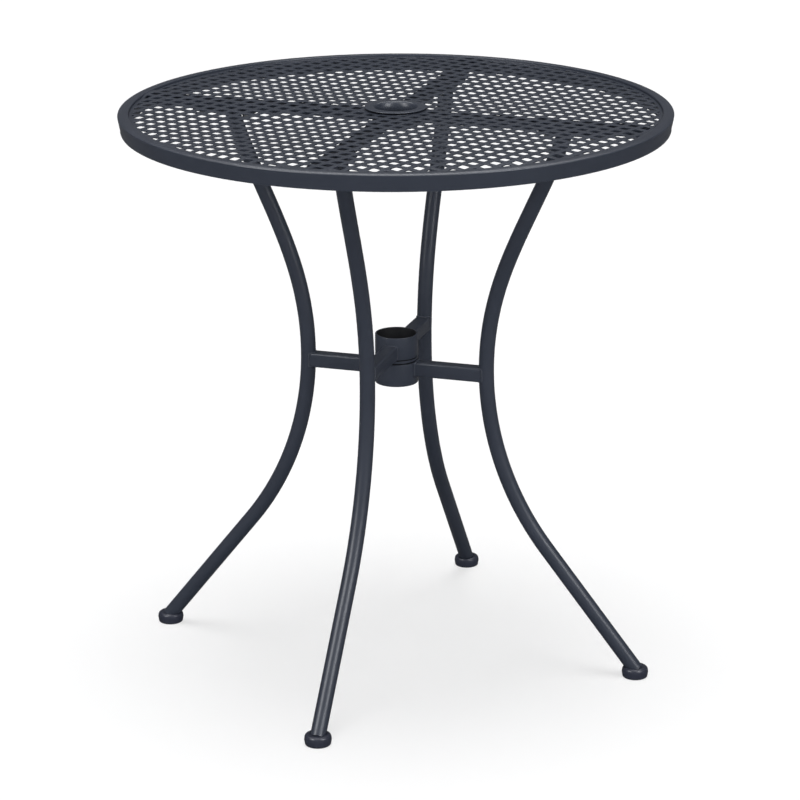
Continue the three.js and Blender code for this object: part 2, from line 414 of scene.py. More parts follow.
# Powder coat. Scales are per metre, ranges are levels of the noise.
COAT_DARK = (0.0275, 0.0328, 0.0460, 1)
COAT_LIGHT = (0.0340, 0.0398, 0.0555, 1)
COAT_SPECULAR = 0.25
COAT_ROUGHNESS = 0.30
CLOUD_SCALE = 14
CLOUD_RANGE = (0.3, 0.7)
CLOUD_SHARE = 0.75            # of the light tone
CLOUD_ROUGHNESS = 0.06
GRAIN_SCALE = 1100
GRAIN_ROUGHNESS = 0.04
# painted glints: lighter flecks of grain put into the colour
PAINTED_GLINT_RANGE = (0.62, 0.8)
PAINTED_GLINT_SHARE = 0.35          # of the light tone
PEEL_SCALE = 420
PEEL_EDGE = 0.45              # how rough the orange peel's noise is
PEEL_SHARE = 0.7              # of the bump, the rest is grain
PEEL_HEIGHT = 0.03 * MM
PEEL_STRENGTH = 0.6

# Painted shade, also rougher: the arms' upper face under the net, the collars' bores, the spacer's
# grooves
SHADE_MASK_ROUGHNESS = 0.3          # how much rougher it is there
# painted shade on the arms' upper face, under the net
ARM_PAINTED_SHADE_COLOUR = (0.002, 0.003, 0.006, 1)
ARM_FACE_SPECULAR = 0.05
ARM_SHADE_START = 3 * MM       # below the arm's top
ARM_SHADE_FULL = 0.5 * MM
# painted shade inside the collars and in the spacer's grooves
BORE_PAINTED_SHADE_COLOUR = (0.003, 0.0035, 0.005, 1)
BORE_SHADE_FULL = 0.5 * MM          # outside the bore's wall
BORE_SHADE_END = 0.9 * MM

BEAD_ROUGHNESS = 0.3
RIPPLE_SCALE = 700
RIPPLE_ROUGHNESS = 0.08
RIPPLE_HEIGHT = 0.05 * MM
RIPPLE_STRENGTH = 0.6

# Foot plastic
PLASTIC_DARK = (0.023, 0.026, 0.039, 1)
PLASTIC_LIGHT = (0.029, 0.032, 0.047, 1)
PLASTIC_ROUGHNESS = 0.29
PLASTIC_CLOUD_SCALE = 60
PLASTIC_GRAIN_SCALE = 900
PLASTIC_GRAIN_ROUGHNESS = 0.06
PLASTIC_GRAIN_HEIGHT = 0.02 * MM
PLASTIC_GRAIN_STRENGTH = 0.5
SCUFF_COLOUR = (0.06, 0.062, 0.07, 1)
SCUFF_SCALE = 260
SCUFF_EDGE = 0.7
SCUFF_RANGE = (0.55, 0.7)
SCUFF_HEIGHTS = (1 * MM, 5 * MM)
SCUFF_SHARE = 0.5
SCUFF_ROUGHNESS = 0.2

# Zinc plate
ZINC_DARK = (0.42, 0.44, 0.46, 1)
ZINC_LIGHT = (0.62, 0.63, 0.63, 1)
ZINC_ROUGHNESS = 0.28
ZINC_CRYSTAL_SCALE = 500
ZINC_CRYSTAL_RANGE = (0.0, 0.9)
ZINC_CRYSTAL_SHARE = 0.5      # of the tone, the rest is clouds
ZINC_CRYSTAL_HEIGHT = 0.02 * MM
ZINC_CRYSTAL_STRENGTH = 0.4
ZINC_CLOUD_SCALE = 120
ZINC_CLOUD_ROUGHNESS = 0.18


def powder_coat(tree):
    """Satin slate-grey powder coat: fine orange peel, faint clouds, painted glints and a slightly
    uneven gloss.
    """
    clouds = tree.noise(CLOUD_SCALE, 3)
    grain = tree.noise(GRAIN_SCALE, 2)
    peel = tree.noise(PEEL_SCALE, 2, PEEL_EDGE)
    # painted glints, as lighter flecks in the base colour
    painted_glints = grain.between(*PAINTED_GLINT_RANGE) * PAINTED_GLINT_SHARE
    tone = (clouds.between(*CLOUD_RANGE) * CLOUD_SHARE + painted_glints).math("MINIMUM", 1)
    height = peel * PEEL_SHARE + grain * (1 - PEEL_SHARE)
    return {
        "Base Color": tree.mix(tone, COAT_DARK, COAT_LIGHT),
        "Roughness": COAT_ROUGHNESS + clouds * CLOUD_ROUGHNESS + grain * GRAIN_ROUGHNESS,
        "Specular IOR Level": COAT_SPECULAR,
        "Normal": tree.bump(height, PEEL_HEIGHT, PEEL_STRENGTH),
    }


def thin_where(tree, shade_mask, colour):
    """The powder coat, with a painted shade colour and a rougher face where the shade mask is 1.
    """
    sockets = powder_coat(tree)
    sockets["Base Color"] = tree.mix(shade_mask, sockets["Base Color"], colour)
    sockets["Roughness"] = sockets["Roughness"] + shade_mask * SHADE_MASK_ROUGHNESS
    return sockets


def shaded_coat(tree):
    """The coat on the arms: painted shade and a rougher face where the net lies over it, and a
    duller sheen all over.
    """
    height = tree.part_of(tree.place(), 2)
    # painted shade: darker towards the arm's top, under the net
    face = height.between(arm_high.z - ARM_SHADE_START, arm_high.z - ARM_SHADE_FULL)
    return thin_where(tree, face, ARM_PAINTED_SHADE_COLOUR) | {"Specular IOR Level": ARM_FACE_SPECULAR}


def bore_coat(tree):
    """The coat on the collars and the spacer: painted shade and a rougher face inside the bore and
    in the grooves.
    """
    place = tree.place()
    x, y = tree.part_of(place, 0), tree.part_of(place, 1)
    radius = (x * x + y * y).math("SQRT")
    # painted shade near the bore's wall
    inside = 1 - radius.between(POLE_BORE_RADIUS + BORE_SHADE_FULL, POLE_BORE_RADIUS + BORE_SHADE_END)
    return thin_where(tree, inside, BORE_PAINTED_SHADE_COLOUR)


def weld_coat(tree):
    """The same coat over a weld bead, with ripples instead of the orange peel."""
    ripple = tree.noise(RIPPLE_SCALE, 2)
    return {
        "Base Color": tree.mix(ripple, COAT_DARK, COAT_LIGHT),
        "Roughness": BEAD_ROUGHNESS + ripple * RIPPLE_ROUGHNESS,
        "Specular IOR Level": COAT_SPECULAR,
        "Normal": tree.bump(ripple, RIPPLE_HEIGHT, RIPPLE_STRENGTH),
    }


def foot_plastic(tree):
    """Moulded plastic with a faint sheen, a fine grain and a few scuffs low down."""
    grain = tree.noise(PLASTIC_GRAIN_SCALE, 2)
    clouds = tree.noise(PLASTIC_CLOUD_SCALE, 3)
    low_down = 1 - tree.part_of(tree.place(), 2).between(*SCUFF_HEIGHTS)
    scuff = tree.noise(SCUFF_SCALE, 4, SCUFF_EDGE).between(*SCUFF_RANGE) * low_down
    colour = tree.mix(clouds, PLASTIC_DARK, PLASTIC_LIGHT)
    roughness = PLASTIC_ROUGHNESS + grain * PLASTIC_GRAIN_ROUGHNESS + scuff * SCUFF_ROUGHNESS
    return {
        "Base Color": tree.mix(scuff * SCUFF_SHARE, colour, SCUFF_COLOUR),
        "Roughness": roughness,
        "Specular IOR Level": COAT_SPECULAR,
        "Normal": tree.bump(grain, PLASTIC_GRAIN_HEIGHT, PLASTIC_GRAIN_STRENGTH),
    }


def zinc_steel(tree):
    """Zinc plate with a soft crystal mottle."""
    mottle = tree.node("ShaderNodeTexVoronoi", tree.place(), None, ZINC_CRYSTAL_SCALE)
    clouds = tree.noise(ZINC_CLOUD_SCALE, 3)
    crystals = mottle.between(*ZINC_CRYSTAL_RANGE)
    tone = crystals * ZINC_CRYSTAL_SHARE + clouds * (1 - ZINC_CRYSTAL_SHARE)
    return {
        "Base Color": tree.mix(tone, ZINC_DARK, ZINC_LIGHT),
        "Roughness": ZINC_ROUGHNESS + clouds * ZINC_CLOUD_ROUGHNESS,
        "Metallic": 1.0,
        "Normal": tree.bump(mottle, ZINC_CRYSTAL_HEIGHT, ZINC_CRYSTAL_STRENGTH),
    }


coat = surface("satin_powder_coat", powder_coat)
# painted shade on the arms' upper face
arm_painted_shade_coat = surface("powder_coat_painted_shade_under_net", shaded_coat)
# painted shade inside the collars and in the spacer's grooves
collar_painted_shade_coat = surface("powder_coat_painted_shade_in_bore", bore_coat)
bead = surface("coated_weld_bead", weld_coat)
plastic = surface("moulded_foot_plastic", foot_plastic)
zinc = surface("zinc_plate", zinc_steel)


# Rim: a sheet rolled over the net's edge, with a crowned top and an apron that is drawn in below

RIM_SHEET = 1.5 * MM
RIM_FALL = 1.2 * MM           # how far the top face falls towards its outer edge
RIM_CREST = 8.5 * MM          # the fall starts this far in from the outer edge
RIM_KNEE = 4.7 * MM           # and gets steeper here
RIM_KNEE_SHARE = 0.2          # of the fall, up to the knee
RIM_SHOULDER = 1.5 * MM
RIM_INNER_CORNER = 0.8 * MM
RIM_DRAW_IN = 3.1 * MM
RIM_DRAW_IN_HEIGHT = 19 * MM  # below the top, where the drawing in ends


def make_rim():
    outer_top = RIM_TOP - RIM_FALL
    skirt = TOP_RADIUS - RIM_DRAW_IN
    skirt_top = RIM_TOP - RIM_DRAW_IN_HEIGHT
    bottom = rim_low.z
    lip = RIM_SHEET / 2
    profile = [
        *rounded(skirt - lip, bottom + lip, lip, -150, 0, 4),
        (skirt, skirt_top),
        *rounded(TOP_RADIUS - RIM_SHOULDER, outer_top - RIM_SHOULDER, RIM_SHOULDER, -8, 74, 6),
        (TOP_RADIUS - RIM_KNEE, RIM_TOP - RIM_FALL * RIM_KNEE_SHARE),
        (TOP_RADIUS - RIM_CREST, RIM_TOP),
        *rounded(RIM_INNER_RADIUS + RIM_INNER_CORNER, RIM_TOP - RIM_INNER_CORNER,
                 RIM_INNER_CORNER, 90, 180, 3),
        *rounded(RIM_INNER_RADIUS + lip, bottom + lip, lip, 180, 330, 4),
        (RIM_INNER_RADIUS + RIM_SHEET, RIM_TOP - RIM_SHEET),
        (TOP_RADIUS - RIM_SHEET, outer_top - RIM_SHEET),
        (skirt - RIM_SHEET, skirt_top),
    ]
    hand_in(smooth(turned_ring("rim", profile, RIM_SIDES)), coat, "powder_coat", "rim_ring")


# Net: rows of rounded square openings. Between the arms the thin sheet stands a little up or down.

NET_PITCH = 18.8 * MM
NET_OPENING = 12.2 * MM
NET_CORNER = 1.7 * MM
NET_TURN = radians(-20.8)
NET_SHIFT_ALONG = 14.2 * MM
NET_SHIFT_ACROSS = 10.9 * MM
NET_BORDER = 4.5 * MM         # no opening this near the rim
NET_FLANGE_BORDER = 1 * MM    # nor this near the flange
NET_SMALLEST = 16 * MM * MM   # openings cut down to less are left out
NET_EDGE = 0.3 * MM
NET_OVERRUN = 5 * MM
NET_WAVES = {"front": 2.2 * MM, "right": -3.3 * MM, "back": -4.3 * MM, "left": -4.1 * MM}
NET_FALL = 2.6 * MM           # how far the sheet falls towards the rim
NET_FALL_WIDTH = 24 * MM
NET_FALL_POWER = 1.3
NET_FALL_FROM = 10 * MM       # from an arm's middle, where the fall begins to show
NET_FALL_FULL = 30 * MM


def ramp(value, low, high):
    """0 below low, 1 above high, with a soft start and end."""
    share = min(max((value - low) / (high - low), 0), 1)
    return share * share * (3 - 2 * share)


def net_wave(x, y):
    """How far the sheet stands off its plane: a wave between arms, and a fall at the rim."""
    turn = degrees(atan2(y, x)) % 360
    side = next(name for name, start in SIDES.items() if start % 360 == turn // 90 * 90 % 360)
    share = (hypot(x, y) - SLEEVE_RADIUS) / (RIM_INNER_RADIUS - SLEEVE_RADIUS)
    wave = NET_WAVES[side] * sin(radians(2 * turn)) ** 2 * sin(pi * min(max(share, 0), 1))
    fall_start = RIM_INNER_RADIUS - NET_FALL_WIDTH
    fall = NET_FALL * max((hypot(x, y) - fall_start) / NET_FALL_WIDTH, 0) ** NET_FALL_POWER
    return wave - fall * ramp(min(abs(x), abs(y)), NET_FALL_FROM, NET_FALL_FULL)


def net_openings(low, high):
    """All the openings as upright bars, cut off at the border and at the flange."""
    half = NET_OPENING / 2
    bars = block("net_openings", (-half, -half, low), (half, half, high))
    round_edges(bars, 2, half, NET_CORNER, 2)
    count = 2 * int(TOP_RADIUS / NET_PITCH) + 3
    for axis in ((1, 0, 0), (0, 1, 0)):
        modify(bars, "ARRAY", count=count, use_relative_offset=False, use_constant_offset=True,
               constant_offset_displace=Vector(axis) * NET_PITCH)
    corner = -(count // 2) * NET_PITCH
    moved(bars, Matrix.Rotation(NET_TURN, 4, "Z")
          @ Matrix.Translation((corner + NET_SHIFT_ALONG, corner + NET_SHIFT_ACROSS, 0)))
    field = ring("net_field", flange_high.x + NET_FLANGE_BORDER, RIM_INNER_RADIUS - NET_BORDER,
                 low, high, RIM_SIDES)
    return drop_slivers(cut(bars, field, "INTERSECT"))


def drop_slivers(bars):
    """Deletes the openings that the border has cut down to slivers."""
    edit(bars)
    shape = bmesh.from_edit_mesh(bars.data)
    seen = set()
    small = set()
    for start in shape.faces:
        if start in seen:
            continue
        group = [start]
        seen.add(start)
        for face in group:
            for edge in face.edges:
                for other in edge.link_faces:
                    if other not in seen:
                        seen.add(other)
                        group.append(other)
        if sum(f.calc_area() for f in group if f.normal.z > 0.5) < NET_SMALLEST:
            small.update(group)
    choose("FACE", lambda f: f in small)
    bpy.ops.mesh.delete(type="FACE")
    leave()
    return bars


def make_net():
    cells = 2 * int(TOP_RADIUS / NET_PITCH) + 4
    start_fresh()
    bpy.ops.mesh.primitive_grid_add(x_subdivisions=cells, y_subdivisions=cells,
                                    size=cells * NET_PITCH)
    sheet = settle(newest("net"))
    shift = NET_PITCH / 2
    moved(sheet, Matrix.Translation((0, 0, net_high.z)) @ Matrix.Rotation(NET_TURN, 4, "Z")
          @ Matrix.Translation((NET_SHIFT_ALONG + shift, NET_SHIFT_ACROSS + shift, 0)))
    modify(sheet, "SOLIDIFY", thickness=net_high.z - net_low.z, offset=-1)
    low, high = net_low.z - NET_OVERRUN, net_high.z + NET_OVERRUN
    disc = ring("net_disc", SLEEVE_RADIUS + FIT_GAP, RIM_INNER_RADIUS - FIT_GAP,
                low, high, RIM_SIDES)
    cut(sheet, disc, "INTERSECT")
    cut(sheet, net_openings(low, high))
    soften(sheet, NET_EDGE, 1)
    up = sheet.vertex_groups.new(name="up")
    down = sheet.vertex_groups.new(name="down")
    reach = NET_FALL + max(abs(height) for height in NET_WAVES.values())
    for vertex in sheet.data.vertices:
        wave = net_wave(vertex.co.x, vertex.co.y) / reach
        (up if wave > 0 else down).add([vertex.index], abs(wave), "REPLACE")
    for group, strength in (("up", reach), ("down", -reach)):
        modify(sheet, "DISPLACE", vertex_group=group, direction="Z", mid_level=0,
               strength=strength)
    sheet.vertex_groups.clear()
    hand_in(smooth(sheet), coat, "powder_coat", "mesh_panel")


# Flange: a neck inside the sleeve, and a disc over the net whose hole opens like a funnel

FLANGE_BASE = 8.3 * MM        # from the neck's lower end to the disc
FLANGE_LIFT = 1.6 * MM        # how far the disc's edge stands clear of the net
FLANGE_LEVEL = 3 * MM         # outside the neck, where the disc begins to lift
FLANGE_EDGE = 2.5 * MM        # inside the edge, where it has lifted
FLANGE_BEVEL = 0.5 * MM
CREST_WIDTH = 3 * MM          # outside the lip the disc stays nearly level this far
CREST_FALL = 0.1 * MM
LIP_WIDTH = 5 * MM            # from the bore out to the funnel's lip
LIP_DEPTH = 9 * MM
LIP_STEPS = 8
NECK_WALL = 1.2 * MM
NECK_CHAMFER = (0.4 * MM, 0.3 * MM)


def make_flange():
    edge = flange_high.x
    crest = flange_high.z
    bottom = flange_low.z
    base = bottom + FLANGE_BASE
    neck = POLE_BORE_RADIUS + NECK_WALL
    lip = POLE_BORE_RADIUS + LIP_WIDTH
    across, up = NECK_CHAMFER
    funnel = [radians(90 * i / LIP_STEPS) for i in range(1, LIP_STEPS + 1)]
    profile = [
        (POLE_BORE_RADIUS + across, bottom),
        (neck, bottom + up),
        (neck, base),
        (neck + FLANGE_LEVEL, base),
        (edge - FLANGE_EDGE, base + FLANGE_LIFT),
        *rounded(edge - FLANGE_BEVEL, base + FLANGE_LIFT + FLANGE_BEVEL, FLANGE_BEVEL,
                 -80, 80, 6),
        (lip + CREST_WIDTH, crest - CREST_FALL),
        (lip, crest),
        *[(lip - LIP_WIDTH * sin(a), crest - LIP_DEPTH * (1 - cos(a))) for a in funnel],
    ]
    hand_in(smooth(turned_ring("flange", profile, HUB_SIDES)), coat, "powder_coat",
            "umbrella_flange")


# Sleeve, collars and the spacer between the collars

SLEEVE_CORNER = 0.4 * MM
COLLAR_CORNER = 0.7 * MM
GROOVE = 1.5 * MM             # height of the grooves above and below the spacer
GROOVE_WALL = 0.5 * MM        # wall left behind the grooves
SPACER_EDGE = 0.2 * MM


def tube_ring(name, inner, outer, low, high, corner):
    """A short upright tube with rounded ends."""
    profile = [
        *rounded(outer - corner, low + corner, corner, -90, 0, 3),
        *rounded(outer - corner, high - corner, corner, 0, 90, 3),
        *rounded(inner + corner, high - corner, corner, 90, 180, 3),
        *rounded(inner + corner, low + corner, corner, 180, 270, 3),
    ]
    return smooth(turned_ring(name, profile, HUB_SIDES))


def make_spacer():
    wall = POLE_BORE_RADIUS + GROOVE_WALL
    edge = spacer_high.x
    low, high = spacer_low.z, spacer_high.z
    band_low, band_high = low + GROOVE, high - GROOVE
    profile = [
        (POLE_BORE_RADIUS, low), (wall, low), (wall, band_low),
        (edge - SPACER_EDGE, band_low), (edge, band_low + SPACER_EDGE),
        (edge, band_high - SPACER_EDGE), (edge - SPACER_EDGE, band_high),
        (wall, band_high), (wall, high), (POLE_BORE_RADIUS, high),
    ]
    hand_in(smooth(turned_ring("spacer", profile, HUB_SIDES)), collar_painted_shade_coat, "powder_coat",
            "collar_spacer")


def make_hub():
    sleeve_bore = POLE_BORE_RADIUS + NECK_WALL + FIT_GAP
    sleeve = tube_ring("sleeve", sleeve_bore, SLEEVE_RADIUS, sleeve_low.z, sleeve_high.z,
                       SLEEVE_CORNER)
    hand_in(sleeve, coat, "powder_coat", "umbrella_sleeve")
    for name, low, high, node in (("collar_upper", upper_low, upper_high, "upper_collar"),
                                  ("collar_lower", lower_low, lower_high, "lower_collar")):
        collar = tube_ring(name, POLE_BORE_RADIUS, COLLAR_RADIUS, low.z, high.z, COLLAR_CORNER)
        hand_in(collar, collar_painted_shade_coat, "powder_coat", node)
    make_spacer()


# Bars: arms under the net and stretchers to the collars

BAR_WALL = 1.5 * MM
BAR_CORNER_STEPS = 4
ARM_CORNER = 2.2 * MM
ARM_WIDTH = arm_high.y - arm_low.y
STRETCHER = 19 * MM           # a square tube
STRETCHER_CORNER = 2.6 * MM


def box_tube(name, reach, width, low, high, corner):
    """A rectangular tube along +X, open at both ends, with rounded long edges."""
    half = width / 2
    tube = block(name, (0, -half, low), (reach, half, high))
    round_edges(tube, 0, reach / 2, corner, BAR_CORNER_STEPS)
    bore = block("bore", (-OVERRUN, BAR_WALL - half, low + BAR_WALL),
                 (reach + OVERRUN, half - BAR_WALL, high - BAR_WALL))
    return cut(tube, bore)


def make_arms():
    arm = box_tube("top_arm_blank", TOP_RADIUS, ARM_WIDTH, arm_low.z, arm_high.z, ARM_CORNER)
    space = ring("arm_space", SLEEVE_RADIUS + FIT_GAP, RIM_INNER_RADIUS - FIT_GAP,
                 arm_low.z - OVERRUN, arm_high.z + OVERRUN, RIM_SIDES)
    cut(arm, space, "INTERSECT")
    on_each_side(smooth(arm), "arm", arm_painted_shade_coat, "powder_coat", "top_arm_{}")


def drop_loose(bar):
    """Keeps only what lies between the collar and the leg."""
    edit(bar)
    choose("VERT", lambda v: COLLAR_RADIUS / 2 < v.co.x < WAIST_RADIUS)
    bpy.ops.mesh.select_linked()
    bpy.ops.mesh.select_all(action="INVERT")
    bpy.ops.mesh.delete(type="VERT")
    leave()


def make_stretchers():
    for sides, (low, high) in ((("front", "back"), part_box("stretcher_front")),
                               (("left", "right"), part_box("stretcher_right"))):
        bar = box_tube("stretcher_blank", WAIST_RADIUS, STRETCHER, low.z, high.z,
                       STRETCHER_CORNER)
        cut(bar, cylinder("collar_cut", COLLAR_RADIUS + FIT_GAP, low.z - OVERRUN,
                          high.z + OVERRUN, HUB_SIDES))
        cut(bar, leg_rod("leg_cut", LEG_RADIUS + FIT_GAP))
        drop_loose(bar)
        on_each_side(smooth(bar), "bar", coat, "powder_coat", "stretcher_{}", sides)


# Legs

def waist_point(angle):
    """A point of the waist's arc, by its angle above the waist."""
    return WAIST_CENTRE + WAIST_BEND * Vector((-cos(angle), 0, sin(angle)))


def leg_end():
    """The lower end of the leg's centre line."""
    low = waist_point(-FOOT_SLANT)
    return Vector((low.x + (low.z - LEG_END) * sin(FOOT_SLANT) / cos(FOOT_SLANT), 0, LEG_END))


def crown_places():
    """Points of the upper bend, and two straight steps on past the plate."""
    low, high = waist_point(WAIST_TURN), Vector((CROWN_RADIUS, 0, LEG_TOP))
    handle = (high - low).length * CROWN_HANDLE_SHARE
    upright = Vector((sin(CROWN_SLANT), 0, cos(CROWN_SLANT)))
    leaving = low + handle * Vector((sin(WAIST_TURN), 0, cos(WAIST_TURN)))
    places = list(interpolate_bezier(low, leaving, high - handle * upright, high,
                                     CROWN_STEPS + 1))
    return [*places, high + LEG_RADIUS * upright, high + 2 * LEG_RADIUS * upright]


def leg_rod(name, radius):
    """A round bar bent along the leg, from the foot to just past the plate."""
    end = leg_end()
    start_fresh()
    bpy.ops.mesh.primitive_circle_add(vertices=TUBE_SIDES, radius=radius, fill_type="NOTHING",
                                      location=end, rotation=(0, -FOOT_SLANT, 0))
    rod = settle(newest(name))
    edit(rod)
    step = (waist_point(-FOOT_SLANT) - end) / STRAIGHT_STEPS
    for _ in range(STRAIGHT_STEPS):
        bpy.ops.mesh.extrude_region_move()
        bpy.ops.transform.translate(value=step)
    bpy.ops.mesh.spin(steps=WAIST_STEPS, angle=FOOT_SLANT + WAIST_TURN, center=WAIST_CENTRE,
                      axis=(0, -1, 0))
    places = crown_places()
    slant = WAIST_TURN
    for before, place, after in zip(places, places[1:], places[2:]):
        next_slant = atan2(after.x - before.x, after.z - before.z)
        bpy.ops.mesh.extrude_region_move()
        bpy.ops.transform.translate(value=place - before)
        bpy.ops.transform.rotate(value=slant - next_slant, orient_axis="Y",
                                 center_override=place)
        slant = next_slant
    leave()
    return make_solid(rod)


def make_legs():
    leg = leg_rod("leg_blank", LEG_RADIUS)
    edit(leg)
    bpy.ops.mesh.bisect(plane_co=(0, 0, LEG_TOP), plane_no=(0, 0, 1), clear_outer=True,
                        use_fill=True)
    leave()
    on_each_side(smooth(make_solid(leg)), "tube_leg", coat, "powder_coat", "leg_{}")


PLATE_CORNER = 4 * MM
PLATE_CORNER_STEPS = 5
PLATE_EDGE = 0.4 * MM


def make_plates():
    plate = block("plate_blank", plate_low, plate_high)
    round_edges(plate, 2, (plate_high.z - plate_low.z) / 2, PLATE_CORNER, PLATE_CORNER_STEPS)
    on_each_side(smooth(soften(plate, PLATE_EDGE)), "top_plate", coat, "powder_coat",
                 "leg_plate_{}")


# Foot caps

FOOT_CENTRE = (foot_low.x + foot_high.x) / 2
FOOT_RADIUS = (foot_high.x - foot_low.x) / 2
FOOT_HEIGHT = foot_high.z
FOOT_TAPER = 0.9 * MM         # towards the floor, the cap is widest at half its height
FOOT_SHOULDER = 4.2 * MM
FOOT_ROUND = 1.8 * MM
FOOT_EDGE = 0.35 * MM
SOCKET_GAP = 0.7 * MM


def make_feet():
    low_radius = FOOT_RADIUS - FOOT_TAPER
    top_radius = FOOT_RADIUS - FOOT_TAPER / 2
    profile = [
        (low_radius - 2 * FOOT_ROUND, 0),
        *rounded(low_radius - FOOT_ROUND, FOOT_ROUND, FOOT_ROUND, -90, 0, 5),
        (FOOT_RADIUS, FOOT_HEIGHT / 2),
        *rounded(top_radius - FOOT_SHOULDER, FOOT_HEIGHT - FOOT_SHOULDER, FOOT_SHOULDER,
                 5, 90, 6),
        (LEG_RADIUS / 3, FOOT_HEIGHT),
    ]
    cap = turned("foot_blank", profile, FOOT_SIDES)
    moved(cap, Matrix.Translation((FOOT_CENTRE, 0, 0)))
    socket = cylinder("socket", LEG_RADIUS + SOCKET_GAP, -FIT_GAP, 2 * FOOT_HEIGHT, FOOT_SIDES)
    moved(socket, Matrix.Translation(leg_end()) @ Matrix.Rotation(-FOOT_SLANT, 4, "Y"))
    cut(cap, socket)
    on_each_side(smooth(soften(cap, FOOT_EDGE)), "foot_cap", plastic, "foot_plastic", "foot_{}")


# Fixings

BOLT_HEAD = 4 * MM
DOME_MIDDLE = 2 * MM          # radius of the cap that closes the dome tool
DOME_FLAT = 4.6 * MM          # radius of the head's flat end
DOME_RADIUS = 6.4 * MM
DOME_HEIGHT = 1.2 * MM
SHANK_RADIUS = 2.9 * MM
SHANK_SINK = 0.1 * MM         # how far the shank reaches into the head
WASHER_BORE_RADIUS = 3.3 * MM
WASHER_ROUNDING = 0.3 * MM    # the CAD washer has few sides, so its box is this much narrower
WASHER_CORNER = 0.25 * MM


def make_bolt(low, high):
    """A bolt on the table's axis: a hexagon head with a domed end, and its shank above."""
    head_top = low.z + BOLT_HEAD
    head = cylinder("bolt_blank", (high.y - low.y) / 2 / cos(radians(30)), low.z, head_top, 6)
    dome = turned("dome", [
        (DOME_MIDDLE, low.z), (DOME_FLAT, low.z), (DOME_RADIUS, low.z + DOME_HEIGHT),
        (DOME_RADIUS, head_top), (DOME_MIDDLE, head_top),
    ], TUBE_SIDES)
    cut(head, dome, "INTERSECT")
    shank = cylinder("shank", SHANK_RADIUS, head_top - SHANK_SINK, high.z, SHANK_SIDES)
    return smooth(cut(head, shank, "UNION"))


def make_fixings():
    for end in ("inner", "outer"):
        low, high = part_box(f"bolt_right_{end}")
        washer_low, washer_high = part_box(f"washer_right_{end}")
        place = Matrix.Translation(((low.x + high.x) / 2, 0, 0))
        bolt = moved(make_bolt(low, high), place)
        outer = (washer_high.y - washer_low.y) / 2 + WASHER_ROUNDING
        washer = moved(tube_ring("washer_blank", WASHER_BORE_RADIUS, outer, washer_low.z,
                                 washer_high.z, WASHER_CORNER), place)
        for piece, name in ((bolt, "bolt"), (washer, "washer")):
            on_each_side(piece, f"{name}_{end}", zinc, "zinc_steel", name + "_{}_" + end)


# Weld beads: short rows of overlapping drops where bars meet collars, legs, sleeve and rim, and
# where the legs meet their plates

BEAD_STEP = 1.3 * MM
BEAD_SIZE = 1.5 * MM
BEAD_FLATNESS = 0.85
BEAD_SIDES = 8
BEAD_RINGS = 5
TUBE_BEAD_LIFT = 0.2 * MM     # how far the middle of a drop stands off a collar or the sleeve
RIM_BEAD_LIFT = 0.4 * MM      # off the rim and the plates
OUTLINE_STEPS = 5
OUTLINE_CORNER = 1.6 * MM
OUTLINE_INSET = 0.6 * MM      # how much narrower than a stretcher its weld is
LEG_TOP_STEPS = 36


def bead_row(points, drop):
    """Drops along a line of points, evenly spaced."""
    made = []
    for start, end in zip(points, points[1:]):
        count = max(1, round((end - start).length / BEAD_STEP))
        for i in range(count):
            twin = copy_of(drop, "drop")
            twin.location = start.lerp(end, i / count)
            made.append(twin)
    return made


def bar_outline(width, low, high, all_round):
    """The sides of a bar's section that are welded: flanks and underside, or all round."""
    half = width / 2
    corner = half - OUTLINE_CORNER
    upper, lower = high - OUTLINE_CORNER, low + OUTLINE_CORNER
    outline = [(half, upper), (half, lower), (corner, low), (-corner, low), (-half, lower),
               (-half, upper)]
    if all_round:
        outline += [(-corner, high), (corner, high), (half, upper)]
    points = []
    for (y, z), (next_y, next_z) in zip(outline, outline[1:]):
        points += [(y + (next_y - y) * i / OUTLINE_STEPS, z + (next_z - z) * i / OUTLINE_STEPS)
                   for i in range(OUTLINE_STEPS)]
    return points + [outline[-1]]


def on_tube(radius, outline):
    """The outline laid on a tube about the table's axis."""
    return [Vector((sqrt(max(radius ** 2 - y ** 2, 0)), y, z)) for y, z in outline]


def on_leg(outline):
    """The outline laid on the leg's waist, on the side that faces the collars."""
    points = []
    for y, z in outline:
        centre = WAIST_CENTRE.x - sqrt(WAIST_BEND ** 2 - (z - WAIST_HEIGHT) ** 2)
        points.append(Vector((centre - sqrt(max(LEG_RADIUS ** 2 - y ** 2, 0)), y, z)))
    return points


def round_leg_top():
    """Points round the leg where it meets the plate."""
    turns = [2 * pi * i / LEG_TOP_STEPS for i in range(LEG_TOP_STEPS + 1)]
    return [Vector((CROWN_RADIUS + LEG_RADIUS / cos(CROWN_SLANT) * cos(a), LEG_RADIUS * sin(a),
                    LEG_TOP - RIM_BEAD_LIFT)) for a in turns]


